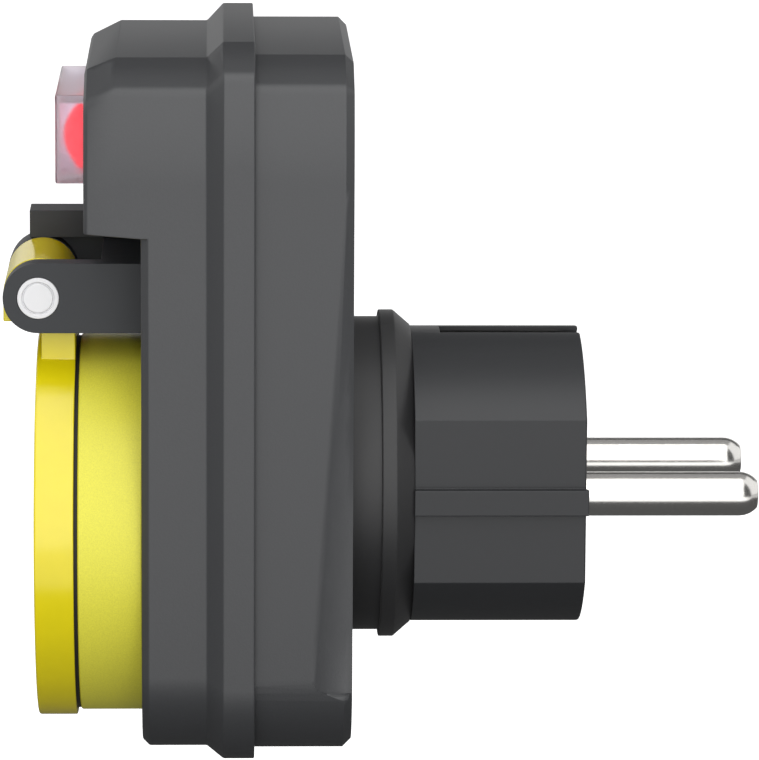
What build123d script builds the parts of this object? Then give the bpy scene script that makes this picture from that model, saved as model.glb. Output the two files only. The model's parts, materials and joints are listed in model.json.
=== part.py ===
from build123d import *
import os
from math import cos, radians, sin

# Switched, splash-proof plug adapter. Lengths are in millimetres.
# The adapter hangs in a wall socket by its two pins. +Y points into the wall and +Z points up.
# The origin is the middle of the plug's engagement face, and the lid and switch face -Y.

# Clearances
seat_gap = 0.04
running_gap = 0.06
soft_gap = 0.25
hinge_play = 0.2

# Plug pins
pin_spacing = 19.0
pin_radius = 2.4
pin_length = 19.0
pin_tip_length = 2.0
pin_tip_radius = 1.5
pin_drop = 0.4
pin_shank_radius = 2.2
pin_tail_radius = 1.5
pin_tail_length = 4.1
pin_seat_depth = 0.3

# Plug body
body_length = 18.5
body_half_width = 15.7
body_apex = 16.17
body_flat_half = 8.95
body_edge = 0.12
rib_height = 2.8
rib_proud = 0.9
rib_overrun = 0.25
root_radius = 15.2
cavity_radius = 14.2
cavity_in_body = 1.7
inner_flange_radius = 17.8
inner_flange_thickness = 2.0

# Earth contacts of the plug
earth_recess_width = 4.0
earth_recess_wall = 1.5
earth_recess_depth = 2.97
recess_lip = 0.68
recess_undercut = 0.6
strap_passage = 1.0
strap_thickness = 0.8
strap_width = 3.6
strap_rise = 1.0
strap_bulge = 0.45
strap_nose_length = 1.1
strap_fall_length = 2.25
strap_clear = 0.1
strap_end_gap = 1.2
earth_stud_radius = 2.5
stud_bore = 6.0
centre_screw_radius = 1.5
centre_head_radius = 2.8
centre_head_height = 1.6

# Rubber sealing collar behind the plug body
collar_length = 6.77
collar_neck_radius = 17.26
collar_lip_radius = 18.0
collar_lip_thickness = 1.58
collar_tip_radius = 16.35
collar_taper = 1.9

# Casing, as seen from the front
shell_wall = 1.6
casing_above_switch = 9.35
casing_below_socket = 1.77
casing_half_width = 23.4
casing_flat = 16.6
shoulder_in = 1.5
shoulder_drop = 2.8
shoulder_round = 2.0
cheek_drop = 12.6
corner_radius = 9.5
rear_grow = 0.38
rear_grow_below = 0.09
rim_grow = 1.6
rim_grow_above = 1.81
rim_grow_below = 1.07
rim_flat_grow = 1.04
flat_shrink = 0.4

# Casing, from back to front
rear_depth = 10.42
rim_depth = 3.32
ramp_depth = 1.78
front_depth = 8.69
head_depth = 6.0
roof_depth = 3.34
roof_drop = 1.52
roof_narrowing = 0.2
roof_flat_loss = 1.4
rear_bevel = 0.9
front_edge = 0.75
head_above_hinge = 8.35
head_bottom_rise = 0.5
head_edge = 0.35

# Finger grips on the casing's sides
grip_top = 46.6
grip_bend = -13.0
grip_bottom = -19.3
grip_reach = 4.24
grip_depth = 1.05
grip_round = 1.6

# Casing screws
screw_inset = 5.8
boss_gap = 0.7
screw_below_top = 6.5
screw_above_bottom = 5.4
screw_radius = 1.3
screw_head_radius = 2.4
screw_head_height = 1.8
screw_head_round = 0.45
screw_engagement = 8.0
screw_sink = 5.0
screw_slot_length = 1.5
screw_slot_half = 0.35
screw_slot_depth = 0.9
boss_radius = 3.0

# Seal between the shells
seal_width = 0.9
seal_height = 0.95
seal_inset = 0.4

# Socket
socket_drop = 5.43
collar_proud = 0.9
socket_collar_depth = 6.89
collar_edge = 0.15
recess_radius = 18.9
recess_depth = 17.5
cup_wall = 0.9
lug_reach = 1.2
lug_height = 6.0
lug_length = 1.6
guide_width = 4.4
guide_proud = 1.9
base_thickness = 3.0
contact_hole_radius = 2.65
leg_radius = 1.3
leg_inset = 2.15
leg_angles = (20.0, 160.0, 225.0, 315.0)
socket_seal_clear = 0.4
socket_seal_width = 0.5
socket_seal_height = 0.5

# Socket contacts
sleeve_inner = 2.45
sleeve_outer = 3.1
sleeve_flange_radius = 3.9
sleeve_flange_thickness = 0.75
sleeve_length = 11.4
sleeve_slot = 0.8
sleeve_slot_gap = 0.8
clip_half_reach = 18.05
clip_bend_in = 2.2
clip_thickness = 0.7
clip_width = 5.0
clip_length = 14.5
clip_tip_length = 2.9
clip_arm_length = 7.25
clip_clear = 0.2

# Bus bars
bar_thickness = 0.8
bar_ring_radius = 4.1
bar_setback = 2.4
bar_inner_x = 4.2
bar_width = 4.0
feed_half_width = 1.5
feed_setback = 3.8
feed_crossing = 5.2
link_crossing = 3.0
link_root = 1.0
plate_half = 2.2
plate_setback = 3.2
plate_foot = 2.6
link_inner = 7.0
link_outer = 11.4

# Lid
lid_overhang = 0.55
lid_thickness = 4.21
lid_gap = 0.39
lid_wall = 2.0
lid_rim_width = 2.35
lid_edge = 0.15
gasket_width = 0.9
gasket_inset = 0.2
gasket_depth = 1.0

# Hinge
hinge_above_lid = 5.58
hinge_forward = 11.18
hinge_pin_radius = 1.6
hinge_head_radius = 2.24
hinge_head_depth = 0.5
hinge_groove = 0.12
ear_inner = 8.4
ear_thickness = 2.9
ear_radius = 3.8
barrel_radius = 3.85
skirt_drop = 3.05
stem_setback = 0.55
stem_root = 4.7
spacer_length = 2.1
spacer_radius = 3.87
cover_thickness = 3.0
cover_overrun = 1.46
bracket_rise = 3.7
bracket_foot_gap = 1.93
bracket_plate = 2.4
shelf_depth = 4.5
shelf_thickness = 2.2
bracket_screw_x = 5.2
bracket_screw_drop = 1.2
bracket_screw_radius = 1.0
bracket_screw_head = 2.0
bracket_screw_head_height = 0.9
bracket_skin = 0.2
spring_radius = 2.2
spring_wire = 0.25
spring_pitch = 0.95
spring_turns = 8
spring_setback = 0.9
spring_pocket = 3.0
spring_leg = 0.4
spring_hole = 1.0

# Switch
switch_above_head = 9.0
cap_half_width = 12.4
cap_half_height = 4.75
cap_proud = 3.23
cap_side_wall = 1.1
cap_end_wall = 0.9
cap_face_wall = 0.5
cap_foot = 1.5
cap_foot_height = 1.15
cap_foot_thickness = 1.0
cap_edge = 0.25
pivot_setback = 0.5
rocker_half_width = 9.8
rocker_half_height = 3.6
rocker_reach = 7.7
rocker_dish = 0.8
rocker_depth = 4.5
rocker_wall = 1.0
rocker_edge = 0.4
rocker_hub_radius = 2.4
rocker_tilt = 8.0
trunnion_radius = 1.2
trunnion_length = 1.3
plunger_radius = 0.7
plunger_reach = 5.8
plunger_length = 4.2
plunger_post_radius = 1.6
plunger_post_length = 4.2
plunger_bore_end = -1.0
plunger_wire = 0.12
plunger_turns = 5
switch_wall = 1.0
switch_half_width = 12.2
switch_half_height = 5.0
switch_length = 15.4
switch_flange_thickness = 1.0
switch_floor = 1.0
hook_width = 6.0
hook_thickness = 1.2
hook_nose = 1.0
blade_setback = 8.0
blade_post_radius = 0.9
blade_thickness = 0.5
blade_half_width = 6.1
blade_half_height = 2.2
blade_tilt = 10.0
button_x = 5.2
button_radius = 0.9
button_height = 0.6
terminal_thickness = 0.8
load_leg_x = 6.0
lamp_leg_x = 7.2
terminal_half_height = 1.6
pad_width = 3.0
lamp_radius = 1.4
lamp_round = 0.7
lamp_length = 4.6
lamp_x = 8.7
lamp_setback = 2.2
lamp_saddle = 0.8
resistor_x = 9.3
resistor_radius = 1.0
resistor_round = 0.25
resistor_length = 5.5

# Planes from the wall forward to the lid, and other derived places
y_body = -body_length
y_rear = y_body - collar_length
y_seam = y_rear - rear_depth
y_rim = y_seam - rim_depth
y_ramp = y_rim - ramp_depth
y_lower = y_rim - front_depth
y_head = y_lower - head_depth
y_roof = y_head + roof_depth
y_collar = y_lower - socket_collar_depth
y_floor = y_collar + recess_depth
y_base = y_floor + base_thickness
y_lid_back = y_collar - lid_gap
y_lid = y_lid_back - lid_thickness
y_hinge = y_lower - hinge_forward
y_flange = y_rear - shell_wall
y_flange_front = y_flange - inner_flange_thickness
y_cavity_end = y_body + cavity_in_body
y_recess = y_cavity_end + earth_recess_wall
y_head_inside = y_head + shell_wall
y_lower_inside = y_lower + shell_wall
z_socket = -socket_drop
pin_x = pin_spacing / 2
cup_radius = recess_radius + cup_wall
socket_collar_radius = cup_radius + collar_proud
socket_seal_radius = cup_radius + socket_seal_clear
lid_radius = socket_collar_radius + lid_overhang
gasket_outer = socket_collar_radius - gasket_inset
gasket_inner = gasket_outer - gasket_width
leg_circle = inner_flange_radius - leg_inset
hinge_z = z_socket + lid_radius + hinge_above_lid
bracket_top = hinge_z + bracket_rise
bracket_bottom = z_socket + socket_collar_radius + bracket_foot_gap
bracket_screw_z = hinge_z - bracket_screw_drop
head_bottom = hinge_z + head_above_hinge
cover_top = hinge_z + ear_radius + cover_thickness
switch_z = head_bottom + switch_above_head
casing_top = switch_z + casing_above_switch
casing_bottom = z_socket - cup_radius - casing_below_socket
ear_outer = ear_inner + ear_thickness
x_spacer = -ear_inner + spacer_length
x_barrel = x_spacer + hinge_play
spring_start = x_spacer + spring_setback
y_screw_seat = y_rear - screw_sink
y_plug_web = y_cavity_end - strap_thickness / 2 - strap_clear
y_plate = y_cavity_end - plate_setback
y_socket_web = y_base + sleeve_flange_thickness + clip_clear
y_bar = y_base + bar_setback
y_feed = y_base + feed_setback
y_switch = y_head_inside + cap_foot_thickness + seat_gap
y_pivot = y_lower + pivot_setback
y_blade = y_pivot + blade_setback
y_pad = y_blade + blade_half_width * sin(radians(blade_tilt)) - blade_post_radius + button_height
y_lamp = y_pivot + lamp_setback
strap_z = body_apex - earth_recess_depth + strap_rise
switch_flange_half = cap_half_width + cap_foot
flange_half_height = cap_half_height + cap_foot_height
terminal_spans = [
    (-blade_post_radius, blade_post_radius),
    (load_leg_x, load_leg_x + terminal_thickness),
    (-lamp_leg_x - terminal_thickness, -lamp_leg_x),
]
far = 200.0
hair = 0.001

# Casing forms: top, bottom, half width and half width of the flat top
front_form = (casing_top, casing_bottom, casing_half_width, casing_flat)
rear_form = (
    casing_top + rear_grow,
    casing_bottom - rear_grow_below,
    casing_half_width + rear_grow,
    casing_flat + rear_grow,
)
rim_form = (
    casing_top + rim_grow_above,
    casing_bottom - rim_grow_below,
    casing_half_width + rim_grow,
    casing_flat + rim_flat_grow,
)
face_form = (
    casing_top - roof_drop,
    casing_bottom,
    casing_half_width - roof_narrowing,
    casing_flat - roof_flat_loss,
)
screw_places = [
    (side * x, z)
    for x, z in (
        (switch_flange_half + boss_gap + boss_radius, casing_top - screw_below_top),
        (casing_half_width - screw_inset, casing_bottom + screw_above_bottom),
    )
    for side in (-1, 1)
]


def slab(face, y_back, y_front):
    """Solid of a front-view outline between two planes across Y."""
    return extrude(Plane.XZ.offset(-y_back) * face, amount=y_back - y_front, dir=(0, -1, 0))


def rod(x, z, radius, y_back, y_front):
    """Round bar along Y."""
    return slab(Pos(x, z) * Circle(radius), y_back, y_front)


def tube(x, z, outer, inner, y_back, y_front):
    """Pipe along Y."""
    return rod(x, z, outer, y_back, y_front) - rod(x, z, inner, y_back, y_front)


def block(x0, x1, y0, y1, z0, z1):
    """Box between two corners."""
    middle = Pos((x0 + x1) / 2, (y0 + y1) / 2, (z0 + z1) / 2)
    return middle * Box(x1 - x0, y1 - y0, z1 - z0)


def profile(points, x0, x1):
    """Solid of a side-view outline of (y, z) points between two planes across X."""
    face = Plane.YZ.offset(x0) * Polygon(*points, align=None)
    return extrude(face, amount=x1 - x0, dir=(1, 0, 0))


def roller(x0, x1, y, z, radius):
    """Round bar along X."""
    face = Plane.YZ.offset(x0) * (Pos(y, z) * Circle(radius))
    return extrude(face, amount=x1 - x0, dir=(1, 0, 0))


def upright(x, y, z0, z1, radius):
    """Round bar along Z."""
    face = Plane.XY.offset(z0) * (Pos(x, y) * Circle(radius))
    return extrude(face, amount=z1 - z0, dir=(0, 0, 1))


def turned(face, x, z):
    """Turned solid about a line along Y, from a face drawn as y across and radius up."""
    return Pos(x, 0, z) * revolve(Plane.YZ * face, Axis.Y)


def strip(points, thickness, x0, x1):
    """Flat strip bent along a side-view line of (y, z) points, the middle of its thickness."""
    line = [Vector(*point) for point in points]
    runs = [(b - a).normalized() for a, b in zip(line, line[1:])]
    left = []
    right = []
    for i, point in enumerate(line):
        before = runs[max(i - 1, 0)]
        after = runs[min(i, len(runs) - 1)]
        across = Vector(-(before.Y + after.Y), before.X + after.X).normalized()
        reach = thickness / 2 / across.dot(Vector(-after.Y, after.X))
        left.append(point + across * reach)
        right.append(point - across * reach)
    return profile([(p.X, p.Y) for p in left + right[::-1]], x0, x1)


def coil(start, wire, pitch, turns, radius, direction):
    """Round wire wound about a line from a start point."""
    path = Helix(pitch, pitch * turns, radius, center=start, direction=direction)
    section = Plane(origin=path @ 0, z_dir=path % 0) * Circle(wire)
    return sweep(section, path=path, is_frenet=True), path


def outline(form, inset=0.0):
    """Front view of the casing, taken in by a distance all round."""
    top = form[0] - inset
    bottom = form[1] + inset
    side = form[2] - inset
    flat = form[3] - inset * flat_shrink
    corner = corner_radius - inset
    shoulder = (side - shoulder_in, top - shoulder_drop)
    cheek = (side, top - cheek_drop)
    with BuildSketch() as view:
        with BuildLine():
            Line((0, top), (flat, top))
            Line((flat, top), shoulder)
            TangentArc(cheek, shoulder, tangent=(0, 1))
            Line(cheek, (side, bottom + corner))
            TangentArc((side, bottom + corner), (side - corner, bottom), tangent=(0, -1))
            Line((side - corner, bottom), (0, bottom))
            mirror(about=Plane.YZ)
        make_face()
        shoulders = [v for v in view.vertices() if abs(v.Y - shoulder[1]) < hair]
        fillet(shoulders, radius=shoulder_round)
    return view.sketch


def sloped(form_back, y_back, form_front, y_front):
    """Solid between two casing outlines, straight from one to the other."""
    back = Plane.XZ.offset(-y_back) * outline(form_back)
    front = Plane.XZ.offset(-y_front) * outline(form_front)
    return loft([back, front], ruled=True)


def plug_section():
    """End view of the plug body: two side flats joined by arcs above and below."""
    with BuildSketch() as view:
        with BuildLine():
            ThreePointArc(
                (-body_half_width, body_flat_half),
                (0, body_apex),
                (body_half_width, body_flat_half),
            )
            Line((body_half_width, body_flat_half), (body_half_width, -body_flat_half))
            mirror(about=Plane.XZ)
            Line((-body_half_width, body_flat_half), (-body_half_width, -body_flat_half))
        make_face()
    return view.sketch


def grip_cut():
    """Scoop of the finger grip in the casing's +X side, which deepens towards the wall."""
    side = rear_form[2]
    y_edge = y_rear - grip_reach
    radius = (grip_reach**2 + grip_depth**2) / (2 * grip_depth)
    hollow = Pos(side - grip_depth + radius, y_rear) * Circle(radius)
    hollow = Plane.XY.offset(grip_bend) * hollow
    rise = Vector(0, grip_reach, grip_top - grip_bend)
    upper = extrude(hollow, amount=rise.length, dir=rise)
    mouth = Polygon(
        (y_rear, grip_bend),
        (y_edge, grip_bend),
        (y_edge, grip_bottom),
        (y_rear, grip_bottom),
        align=None,
    )
    foot = mouth.vertices().sort_by_distance(Vector(y_edge, grip_bottom))[0]
    mouth = extrude(Plane.YZ * fillet(foot, radius=grip_round), amount=far, dir=(1, 0, 0))
    lower = extrude(hollow, amount=grip_bend - grip_bottom, dir=(0, 0, -1))
    return upper + (lower & mouth)


def make_rear_shell():
    shell = slab(outline(rear_form), y_rear, y_seam)
    shell = chamfer(shell.faces().sort_by(Axis.Y)[-1].edges(), rear_bevel)
    shell -= slab(outline(rear_form, shell_wall), y_flange, y_seam)
    for x, z in screw_places:
        shell += rod(x, z, boss_radius, y_rear - rear_bevel, y_seam)
    for x, z in screw_places:
        shell -= rod(x, z, screw_head_radius + soft_gap, y_rear, y_screw_seat)
        shell -= rod(x, z, screw_radius + soft_gap, y_rear, y_seam)
    shell -= rod(0, 0, root_radius + seat_gap, y_rear, y_flange)
    grip = grip_cut()
    return shell - grip - mirror(grip, about=Plane.YZ)


def seal_ring(inner_extra, height):
    """Ring that follows the casing's wall, seated in the front shell's back face."""
    ring = outline(rear_form, seal_inset - inner_extra)
    ring -= outline(rear_form, seal_inset + seal_width + inner_extra)
    return slab(ring, y_seam, y_seam - height)


def make_front_shell():
    body = slab(outline(front_form), y_rim, y_lower)
    body = chamfer(body.faces().sort_by(Axis.Y)[0].edges(), front_edge)
    head = slab(outline(front_form), y_rim, y_roof)
    head += sloped(front_form, y_roof, face_form, y_head)
    head = chamfer(head.faces().sort_by(Axis.Y)[0].edges(), head_edge)
    y_past = y_head - soft_gap
    under_head = [
        (y_rim, head_bottom),
        (y_lower, head_bottom),
        (y_past, head_bottom + head_bottom_rise),
        (y_past, -far),
        (y_rim, -far),
    ]
    head -= profile(under_head, -far, far)
    shell = body + head
    shell += slab(outline(rim_form), y_seam, y_rim)
    shell += sloped(rim_form, y_rim, front_form, y_ramp)
    shell -= slab(outline(front_form, shell_wall), y_seam, y_lower_inside)
    hollow = slab(outline(face_form, shell_wall), y_seam, y_head_inside)
    hollow -= block(-far, far, -far, far, -far, head_bottom + head_bottom_rise + shell_wall)
    shell -= hollow
    for x, z in screw_places:
        front = y_head_inside if z > head_bottom else y_lower_inside
        shell += rod(x, z, boss_radius, y_seam, front - seat_gap)
    for x, z in screw_places:
        depth = screw_engagement + soft_gap
        shell -= rod(x, z, screw_radius + seat_gap, y_seam, y_seam - depth)
    shell += make_hooks()
    shell -= rod(0, z_socket, cup_radius + seat_gap, y_seam, y_lower)
    gap = seat_gap
    shell -= block(
        -cap_half_width - gap,
        cap_half_width + gap,
        y_head,
        y_head_inside,
        switch_z - cap_half_height - gap,
        switch_z + cap_half_height + gap,
    )
    for side in (-1, 1):
        x = side * bracket_screw_x
        shell -= rod(x, bracket_screw_z, bracket_screw_radius + gap, y_lower_inside, y_lower)
    return shell - seal_ring(seat_gap, seal_height + seat_gap)


def make_hooks():
    """Snap hooks inside the head that hold the switch by its flange."""
    x_in = switch_flange_half + soft_gap
    y_nose = y_switch + switch_flange_thickness + seat_gap
    z0 = switch_z - hook_width / 2
    z1 = switch_z + hook_width / 2
    hook = block(x_in, x_in + hook_thickness, y_head_inside, y_nose + hook_nose, z0, z1)
    hook += block(x_in - hook_nose, x_in, y_nose, y_nose + hook_nose, z0, z1)
    return hook + mirror(hook, about=Plane.YZ)


def make_shell_seal():
    return seal_ring(0, seal_height)


def make_casing_screws():
    screws = []
    for x, z in screw_places:
        head = rod(x, z, screw_head_radius, y_screw_seat + screw_head_height, y_screw_seat)
        head = fillet(head.faces().sort_by(Axis.Y)[-1].edges(), screw_head_round)
        shank = rod(x, z, screw_radius, y_screw_seat, y_seam - screw_engagement)
        top = y_screw_seat + screw_head_height
        slot_a = block(
            x - screw_slot_length, x + screw_slot_length,
            top - screw_slot_depth, top, z - screw_slot_half, z + screw_slot_half,
        )
        slot_b = block(
            x - screw_slot_half, x + screw_slot_half,
            top - screw_slot_depth, top, z - screw_slot_length, z + screw_slot_length,
        )
        screws.append(head + shank - slot_a - slot_b)
    return Compound(children=screws)


def make_plug_insert():
    insert = slab(plug_section(), 0, y_body)
    insert = chamfer(insert.faces().sort_by(Axis.Y)[-1].edges(), body_edge)
    insert += rod(0, 0, root_radius, y_body, y_flange_front)
    insert += rod(0, 0, inner_flange_radius, y_flange - seat_gap, y_flange_front)
    insert += block(
        -body_half_width - rib_proud, body_half_width + rib_proud,
        y_body, y_cavity_end, -rib_height / 2, rib_height / 2,
    )
    for side in (-1, 1):
        x = side * (body_half_width + rib_proud / 2)
        insert += Pos(x, (y_body + rib_overrun) / 2, 0) * Box(
            rib_proud, body_length + rib_overrun, rib_height
        )
    insert -= rod(0, 0, cavity_radius, y_cavity_end, y_flange_front)
    half = earth_recess_width / 2
    floor = body_apex - earth_recess_depth
    slot_top = strap_z + strap_thickness
    wide = half + recess_undercut
    for side in (-1, 1):
        z0, z1 = sorted((side * floor, side * far))
        insert -= block(-half, half, y_recess, far, z0, z1)
        z0, z1 = sorted((side * floor, side * (body_apex - recess_lip)))
        insert -= block(-wide, wide, y_recess, far, z0, z1)
        z0, z1 = sorted((side * (cavity_radius - strap_passage), side * slot_top))
        insert -= block(-half, half, y_plug_web - strap_thickness, y_recess, z0, z1)
        insert -= rod(side * pin_x, -pin_drop, pin_shank_radius + seat_gap, 0, y_cavity_end)
        insert -= rod(side * pin_x, -pin_drop, pin_radius + seat_gap, 0, -pin_seat_depth)
    return insert


def make_sealing_collar():
    lip_back = y_body - collar_taper
    face = Polygon(
        (y_rear, root_radius + seat_gap),
        (y_rear, collar_neck_radius),
        (lip_back - collar_lip_thickness, collar_neck_radius),
        (lip_back - collar_lip_thickness, collar_lip_radius),
        (lip_back, collar_lip_radius),
        (y_body, collar_tip_radius),
        (y_body, root_radius + seat_gap),
        align=None,
    )
    return turned(face, 0, 0)


def make_pin(side):
    tip = pin_length - pin_tip_length
    with BuildSketch() as view:
        with BuildLine():
            Line((y_cavity_end, 0), (y_cavity_end, pin_shank_radius))
            Line((y_cavity_end, pin_shank_radius), (0, pin_shank_radius))
            Line((0, pin_shank_radius), (0, pin_radius))
            Line((0, pin_radius), (tip, pin_radius))
            TangentArc((tip, pin_radius), (pin_length, pin_tip_radius), tangent=(1, 0))
            Line((pin_length, pin_tip_radius), (pin_length, 0))
            Line((pin_length, 0), (y_cavity_end, 0))
        make_face()
    pin = turned(view.sketch, side * pin_x, -pin_drop)
    y_tail = y_cavity_end - pin_tail_length
    return pin + rod(side * pin_x, -pin_drop, pin_tail_radius, y_cavity_end, y_tail)


def make_plug_earth_strap():
    z = strap_z
    half = [
        (-strap_end_gap, z - strap_bulge),
        (-strap_end_gap - strap_nose_length, z + strap_bulge),
        (y_recess + strap_fall_length, z + strap_bulge),
        (y_recess, z),
        (y_plug_web, z),
    ]
    points = half + [(y, -z) for y, z in reversed(half)]
    return strip(points, strap_thickness, -strap_width / 2, strap_width / 2)


def make_earth_stud():
    back = y_plug_web - strap_thickness / 2 - seat_gap
    front = y_socket_web + clip_thickness / 2 + seat_gap
    stud = rod(0, z_socket, earth_stud_radius, back, front)
    return stud - rod(0, z_socket, centre_screw_radius + seat_gap, front + stud_bore, front)


def make_centre_screw():
    seat = y_floor + centre_head_height
    head = rod(0, z_socket, centre_head_radius, seat, y_floor)
    slot = block(
        -centre_head_radius, centre_head_radius,
        y_floor, y_floor + screw_slot_depth,
        z_socket - screw_slot_half, z_socket + screw_slot_half,
    )
    end = y_socket_web + clip_thickness / 2 + stud_bore
    return head - slot + rod(0, z_socket, centre_screw_radius, end, seat)


def make_socket_insert():
    collar = rod(0, z_socket, socket_collar_radius, y_lower, y_collar)
    collar = chamfer(collar.faces().sort_by(Axis.Y)[0].edges(), collar_edge)
    insert = collar + rod(0, z_socket, cup_radius, y_floor - seat_gap, y_lower)
    insert -= rod(0, z_socket, recess_radius, y_floor, y_collar)
    half = guide_width / 2
    for side in (-1, 1):
        x0, x1 = sorted((side * (recess_radius - guide_proud), side * (cup_radius - cup_wall / 2)))
        back = y_floor - seat_gap
        insert += block(x0, x1, y_collar + guide_proud, back, z_socket - half, z_socket + half)
        x0, x1 = sorted((side * (cup_radius - cup_wall / 2), side * (cup_radius + lug_reach)))
        y0 = y_lower_inside + seat_gap
        z0 = z_socket - lug_height / 2
        insert += block(x0, x1, y0, y0 + lug_length, z0, z0 + lug_height)
    inner = socket_seal_radius - socket_seal_width / 2 - seat_gap
    outer = socket_seal_radius + socket_seal_width / 2 + seat_gap
    depth = socket_seal_height + seat_gap
    return insert - tube(0, z_socket, outer, inner, y_lower, y_lower - depth)


def make_socket_seal():
    inner = socket_seal_radius - socket_seal_width / 2
    outer = socket_seal_radius + socket_seal_width / 2
    back = y_lower - seat_gap
    return tube(0, z_socket, outer, inner, back, y_lower - socket_seal_height)


def make_contact_base():
    base = rod(0, z_socket, cup_radius, y_base, y_floor)
    y_leg = y_flange_front - seat_gap
    for angle in leg_angles:
        x = leg_circle * cos(radians(angle))
        z = leg_circle * sin(radians(angle))
        base += rod(x, z, leg_radius, y_leg, y_base - base_thickness / 2)
    for side in (-1, 1):
        base -= rod(side * pin_x, z_socket, contact_hole_radius, y_base, y_floor)
        reach = clip_half_reach - clip_thickness / 2 - soft_gap
        z0, z1 = sorted((side * reach, side * far))
        half = clip_width / 2 + soft_gap
        base -= block(-half, half, y_floor, y_base, z_socket + z0, z_socket + z1)
    base -= rod(0, z_socket, centre_screw_radius + seat_gap, y_base, y_floor)
    seat = y_floor + centre_head_height + seat_gap
    return base - rod(0, z_socket, centre_head_radius + seat_gap, seat, y_floor)


def make_sleeve(side):
    x = side * pin_x
    front = y_base + seat_gap
    back = front + sleeve_length
    sleeve = rod(x, z_socket, sleeve_outer, back, front)
    flange_back = front + sleeve_flange_thickness
    sleeve += rod(x, z_socket, sleeve_flange_radius, flange_back, front)
    sleeve -= rod(x, z_socket, sleeve_inner, back, front)
    half = sleeve_slot / 2
    y_slot = y_bar + bar_thickness + sleeve_slot_gap
    return sleeve - block(x - half, x + half, y_slot, back, z_socket - far, z_socket + far)


def make_socket_earth_clips():
    reach = clip_half_reach
    half = [
        (y_socket_web - clip_length, reach - clip_bend_in / 2),
        (y_socket_web - clip_length + clip_tip_length, reach - clip_bend_in),
        (y_socket_web - clip_arm_length, reach),
        (y_socket_web, reach),
    ]
    points = half + [(y, -z) for y, z in reversed(half)]
    clips = strip(points, clip_thickness, -clip_width / 2, clip_width / 2)
    clips = Pos(0, 0, z_socket) * clips
    y0 = y_socket_web + clip_thickness
    return clips - rod(0, z_socket, centre_screw_radius + seat_gap, y0, y0 - 2 * clip_thickness)


def bar_face(side):
    """Flat bar from a contact sleeve up to the switch, drawn as a front view."""
    x = side * (bar_inner_x + bar_width / 2)
    z_top = switch_z + plate_half
    face = Pos(side * pin_x, z_socket) * Circle(bar_ring_radius)
    face += Pos(x, (z_socket + z_top) / 2) * Rectangle(bar_width, z_top - z_socket)
    if side < 0:
        z_pad = link_crossing
        x_pad = (link_outer + bar_inner_x) / 2
        face += Pos(-x_pad, z_pad) * Rectangle(link_outer - bar_inner_x, bar_width)
    return face - Pos(side * pin_x, z_socket) * Circle(sleeve_outer + seat_gap)


def make_bar(side):
    return slab(bar_face(side), y_bar + bar_thickness, y_bar)


def tail_plate(x0, x1, z0, z1, side):
    """Plate with a hole for a pin's tail, inside the plug."""
    half = bar_thickness / 2
    plate = block(x0, x1, y_plate - half, y_plate + half, z0, z1)
    hole = pin_tail_radius + seat_gap
    return plate - rod(side * pin_x, -pin_drop, hole, y_plate + half, y_plate - half)


def make_live_feed_bar():
    z_top = feed_crossing + bar_thickness / 2
    bar = tail_plate(link_inner, link_outer, -plate_foot, z_top, 1)
    half = bar_thickness / 2
    bar += block(-feed_half_width, link_inner, y_plate - half, y_plate + half, plate_foot, z_top)
    points = [
        (y_plate, plate_foot),
        (y_plate, feed_crossing),
        (y_feed, feed_crossing),
        (y_feed, switch_z + plate_half),
    ]
    return bar + strip(points, bar_thickness, -feed_half_width, feed_half_width)


def make_neutral_link():
    z_top = link_crossing + bar_thickness / 2
    link = tail_plate(-link_outer, -link_inner, -plate_foot, z_top, -1)
    end = y_bar + bar_thickness + seat_gap
    points = [(y_plate, link_crossing - link_root), (y_plate, link_crossing), (end, link_crossing)]
    return link + strip(points, bar_thickness, -link_outer, -link_inner)


def make_hinge_bracket():
    back = y_lower - seat_gap
    z0 = hinge_z - ear_radius
    z1 = hinge_z + ear_radius
    ear = roller(ear_inner, ear_outer, y_hinge, hinge_z, ear_radius)
    ear += block(ear_inner, ear_outer, y_hinge, back, z0, z1)
    bracket = ear + mirror(ear, about=Plane.YZ)
    plate_front = y_lower - bracket_plate
    bracket += block(-ear_inner, ear_inner, plate_front, back, bracket_bottom, bracket_top)
    shelf_bottom = bracket_top - shelf_thickness
    bracket += block(
        -ear_inner, ear_inner, y_lower - shelf_depth, back, shelf_bottom, bracket_top
    )
    bracket += roller(-ear_inner, x_spacer, y_hinge, hinge_z, spacer_radius)
    cover_front = y_hinge - cover_overrun
    bracket += block(-ear_outer, x_spacer, cover_front, back, z1, cover_top)
    bracket += block(-ear_outer, -ear_inner, cover_front, back, hinge_z, cover_top)
    bracket -= roller(-ear_outer, ear_outer, y_hinge, hinge_z, hinge_pin_radius + seat_gap)
    for side in (-1, 1):
        x0, x1 = sorted((side * ear_outer, side * (ear_outer - hinge_head_depth)))
        bracket -= roller(x0, x1, y_hinge, hinge_z, hinge_head_radius + seat_gap)
        x = side * bracket_screw_x
        deep = plate_front + bracket_skin
        bracket -= rod(x, bracket_screw_z, bracket_screw_radius + seat_gap, back, deep)
    leg = spring_path_end(0)
    return bracket - roller(x_spacer - spring_hole, x_spacer, leg.Y, leg.Z, spring_wire + seat_gap)


def make_bracket_screws():
    screws = []
    for side in (-1, 1):
        x = side * bracket_screw_x
        seat = y_lower_inside + seat_gap
        end = y_lower - bracket_plate + soft_gap
        head_back = seat + bracket_screw_head_height
        head = rod(x, bracket_screw_z, bracket_screw_head, head_back, seat)
        screws.append(head + rod(x, bracket_screw_z, bracket_screw_radius, seat, end))
    return Compound(children=screws)


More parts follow.
